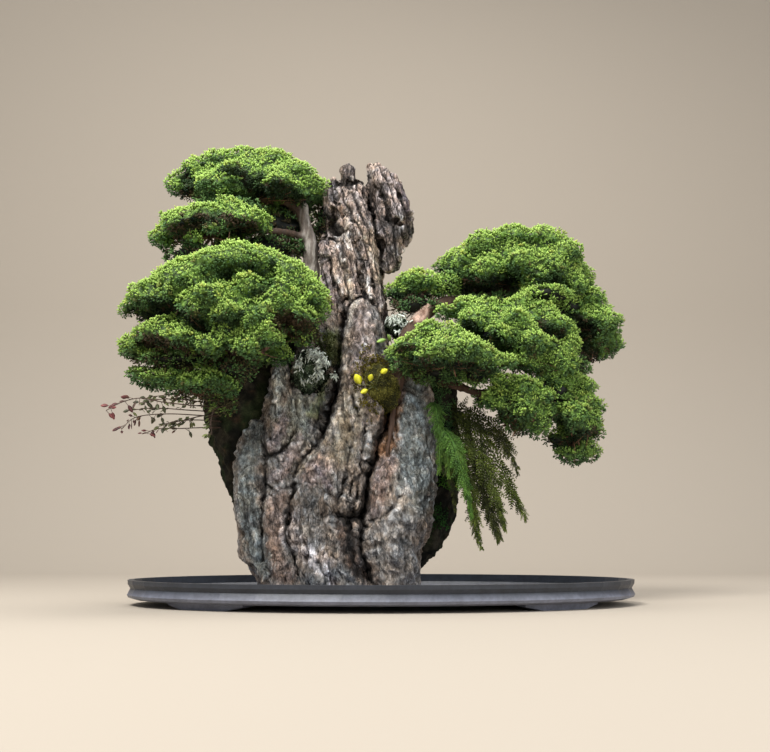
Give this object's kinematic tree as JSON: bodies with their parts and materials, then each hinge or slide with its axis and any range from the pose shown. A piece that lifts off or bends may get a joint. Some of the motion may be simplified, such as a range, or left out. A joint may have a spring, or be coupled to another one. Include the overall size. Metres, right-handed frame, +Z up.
{
  "type": "multi-trunk bonsai",
  "caption": "Group of clipped junipers growing on a tall craggy stone with hanging ferns, standing in a shallow oval tray.",
  "frame": {"origin": "on the ground under the middle of the tray", "axes": "+Z up, +X to the right seen from the front and along the tray's length, -Y to the front and along its depth"},
  "size_m": [0.7638, 0.42, 0.7163],
  "materials": {
    "stoneware": "satin",
    "rock": "matte",
    "soil": "matte",
    "bark_pale": "matte",
    "bark_dark": "matte",
    "bark_pink": "matte",
    "juniper": "matte",
    "fern": "matte",
    "fern_bright": "matte",
    "creeper": "matte",
    "creeper_green": "matte",
    "seedling": "matte",
    "moss": "matte",
    "lichen": "matte"
  },
  "bodies": {
    "root": {"tray": "stoneware", "stone": "rock", "peat_left": "soil", "peat_right": "soil", "upper_tree": "bark_pale", "lower_left_tree": "bark_dark", "right_tree": "bark_pink", "moss_cushion": "moss", "lichen_left": "lichen", "lichen_right": "lichen", "yellow_seedling": "seedling", "pad_top": "juniper", "pad_upper_left": "juniper", "pad_left": "juniper", "pad_left_under": "juniper", "pad_right_top": "juniper", "pad_right_tip": "juniper", "pad_right_flank": "juniper", "pad_right_middle": "juniper", "pad_right_front": "juniper", "pad_right_inner": "juniper", "pad_right_low": "juniper", "fern_frond_1": "fern", "fern_frond_2": "fern", "fern_frond_3": "fern", "fern_frond_4": "fern", "fern_frond_5": "fern", "fern_frond_6": "fern_bright", "fern_frond_7": "fern_bright", "creeper_stem_1": "creeper", "creeper_stem_2": "creeper", "creeper_stem_3": "creeper", "creeper_stem_4": "creeper_green"}
  },
  "joints": []
}
